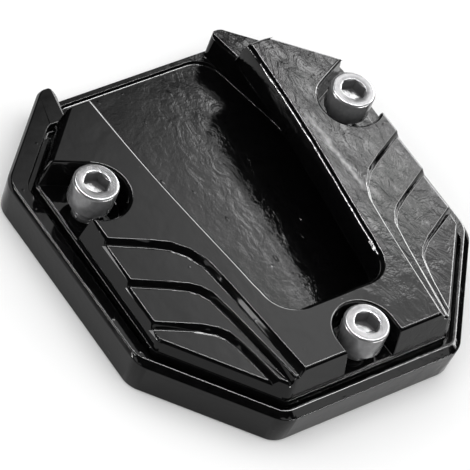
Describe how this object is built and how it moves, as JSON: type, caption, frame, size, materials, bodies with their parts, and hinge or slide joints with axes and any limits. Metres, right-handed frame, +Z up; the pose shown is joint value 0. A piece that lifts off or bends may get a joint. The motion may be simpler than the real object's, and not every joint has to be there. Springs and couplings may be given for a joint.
{
  "type": "side stand foot enlarger",
  "caption": "Broad cast pad that screws round the foot of a motorcycle side stand, so that the stand does not sink into soft ground: a base with a foot pocket and a U-shaped clamp plate.",
  "frame": {"origin": "middle of the flat rest face under the base, on the mirror plane", "axes": "+Z up from the rest face, +Y towards the open back where the stand's foot goes in, +X across, to the right when looking along +Y; the YZ plane is the mirror plane"},
  "size_m": [0.0886, 0.0942, 0.0206],
  "materials": {
    "black_cast": "gloss black coating over cast metal",
    "screw_steel": "bright polished steel"
  },
  "bodies": {
    "root": {"base_plate": "black_cast", "top_plate": "black_cast", "screw_left": "screw_steel", "screw_right": "screw_steel", "screw_front": "screw_steel"}
  },
  "joints": []
}
